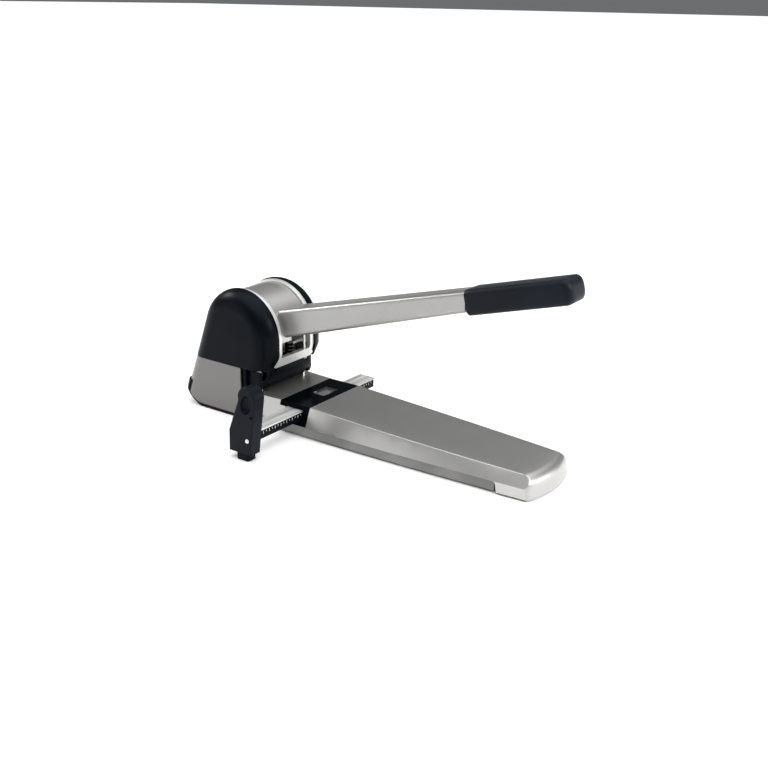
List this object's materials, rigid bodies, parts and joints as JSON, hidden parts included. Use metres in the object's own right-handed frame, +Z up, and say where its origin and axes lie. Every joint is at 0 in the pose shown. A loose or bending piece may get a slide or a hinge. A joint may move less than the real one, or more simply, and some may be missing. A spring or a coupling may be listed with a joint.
{
  "type": "hole punch",
  "caption": "Heavy-duty desk hole punch: long lever on a drum hub drives two punches by rack and pinion, with a sliding paper guide and a chip drawer.",
  "frame": {"origin": "on the desk, straight below the lever axis", "axes": "+X from the lever axis towards the base's nose, +Y to the side away from the paper guide's stop, +Z up"},
  "size_m": [0.5032, 0.2458, 0.2333],
  "materials": {
    "silver_paint": "satin metallic silver paint",
    "tray_plastic": "matte grey",
    "bright_frame": "bright silver",
    "black_shell": "satin black",
    "grip_rubber": "soft matte",
    "pad_rubber": "matte",
    "steel": "bright",
    "machined_steel": "machined, lightly oiled",
    "cast_iron": "dark cast",
    "bronze": "sintered bronze",
    "clear_lens": "clear"
  },
  "bodies": {
    "base": {"back_stop": "black_shell", "base_plate": "machined_steel", "bearing_bush_far": "bronze", "bearing_bush_near": "bronze", "die_bed": "machined_steel", "die_far": "steel", "die_near": "steel", "frame_screws": "steel", "front_cover": "silver_paint", "front_tray": "tray_plastic", "guide_screws": "steel", "head_frame": "bright_frame", "index_pointer": "steel", "lever_stop": "steel", "presser_spring_far": "steel", "presser_spring_near": "steel", "punch_guide_far": "machined_steel", "punch_guide_near": "machined_steel", "rail_housing": "black_shell", "reading_lens": "clear_lens", "rear_cover": "black_shell", "rear_housing": "silver_paint", "rear_pan": "black_shell", "rubber_feet": "pad_rubber", "side_cap_far": "black_shell", "side_cap_near": "black_shell", "tray_screws": "steel"},
    "lever": {"lever_drum": "silver_paint", "lever_hub": "cast_iron", "main_shaft": "steel", "handle_beam": "silver_paint", "handle_grip": "grip_rubber", "pinion_near": "machined_steel", "pinion_far": "machined_steel", "shaft_clips": "steel"},
    "punch_unit_near": {"rack_near": "machined_steel", "punch_near": "steel"},
    "punch_unit_far": {"rack_far": "machined_steel", "punch_far": "steel"},
    "paper_presser": {"presser": "black_shell", "presser_pads": "pad_rubber"},
    "paper_guide": {"guide_rail": "steel", "rail_scale": "black_shell", "stop_block": "black_shell", "stop_foot": "black_shell", "stop_screw": "steel"},
    "drawer": {"chip_drawer": "black_shell"}
  },
  "joints": [
    {"name": "lever_swing", "type": "hinge", "parent": "base", "child": "lever", "pos_m": [0, 0, 0.1002], "axis": [0, -1, 0], "range_deg": [0, 75]},
    {"name": "punch_stroke_near", "type": "slide", "parent": "base", "child": "punch_unit_near", "axis": [0, 0, 1], "range_m": [0, 0.0295]},
    {"name": "punch_stroke_far", "type": "slide", "parent": "base", "child": "punch_unit_far", "axis": [0, 0, 1], "range_m": [0, 0.0295]},
    {"name": "presser_lift", "type": "slide", "parent": "base", "child": "paper_presser", "axis": [0, 0, 1], "range_m": [0, 0.0223], "deforming": ["presser_spring_near", "presser_spring_far"]},
    {"name": "guide_slide", "type": "slide", "parent": "base", "child": "paper_guide", "axis": [0, 1, 0], "range_m": [-0.075, 0.066]},
    {"name": "drawer_slide", "type": "slide", "parent": "base", "child": "drawer", "axis": [-1, 0, 0], "range_m": [0, 0.075]}
  ],
  "couplings": [
    {"joint": "punch_stroke_near", "follows": "lever_swing", "m_per_rad": 0.0225},
    {"joint": "punch_stroke_far", "follows": "lever_swing", "m_per_rad": 0.0225},
    {"joint": "presser_lift", "follows": "lever_swing", "m_per_rad": 0.017}
  ]
}
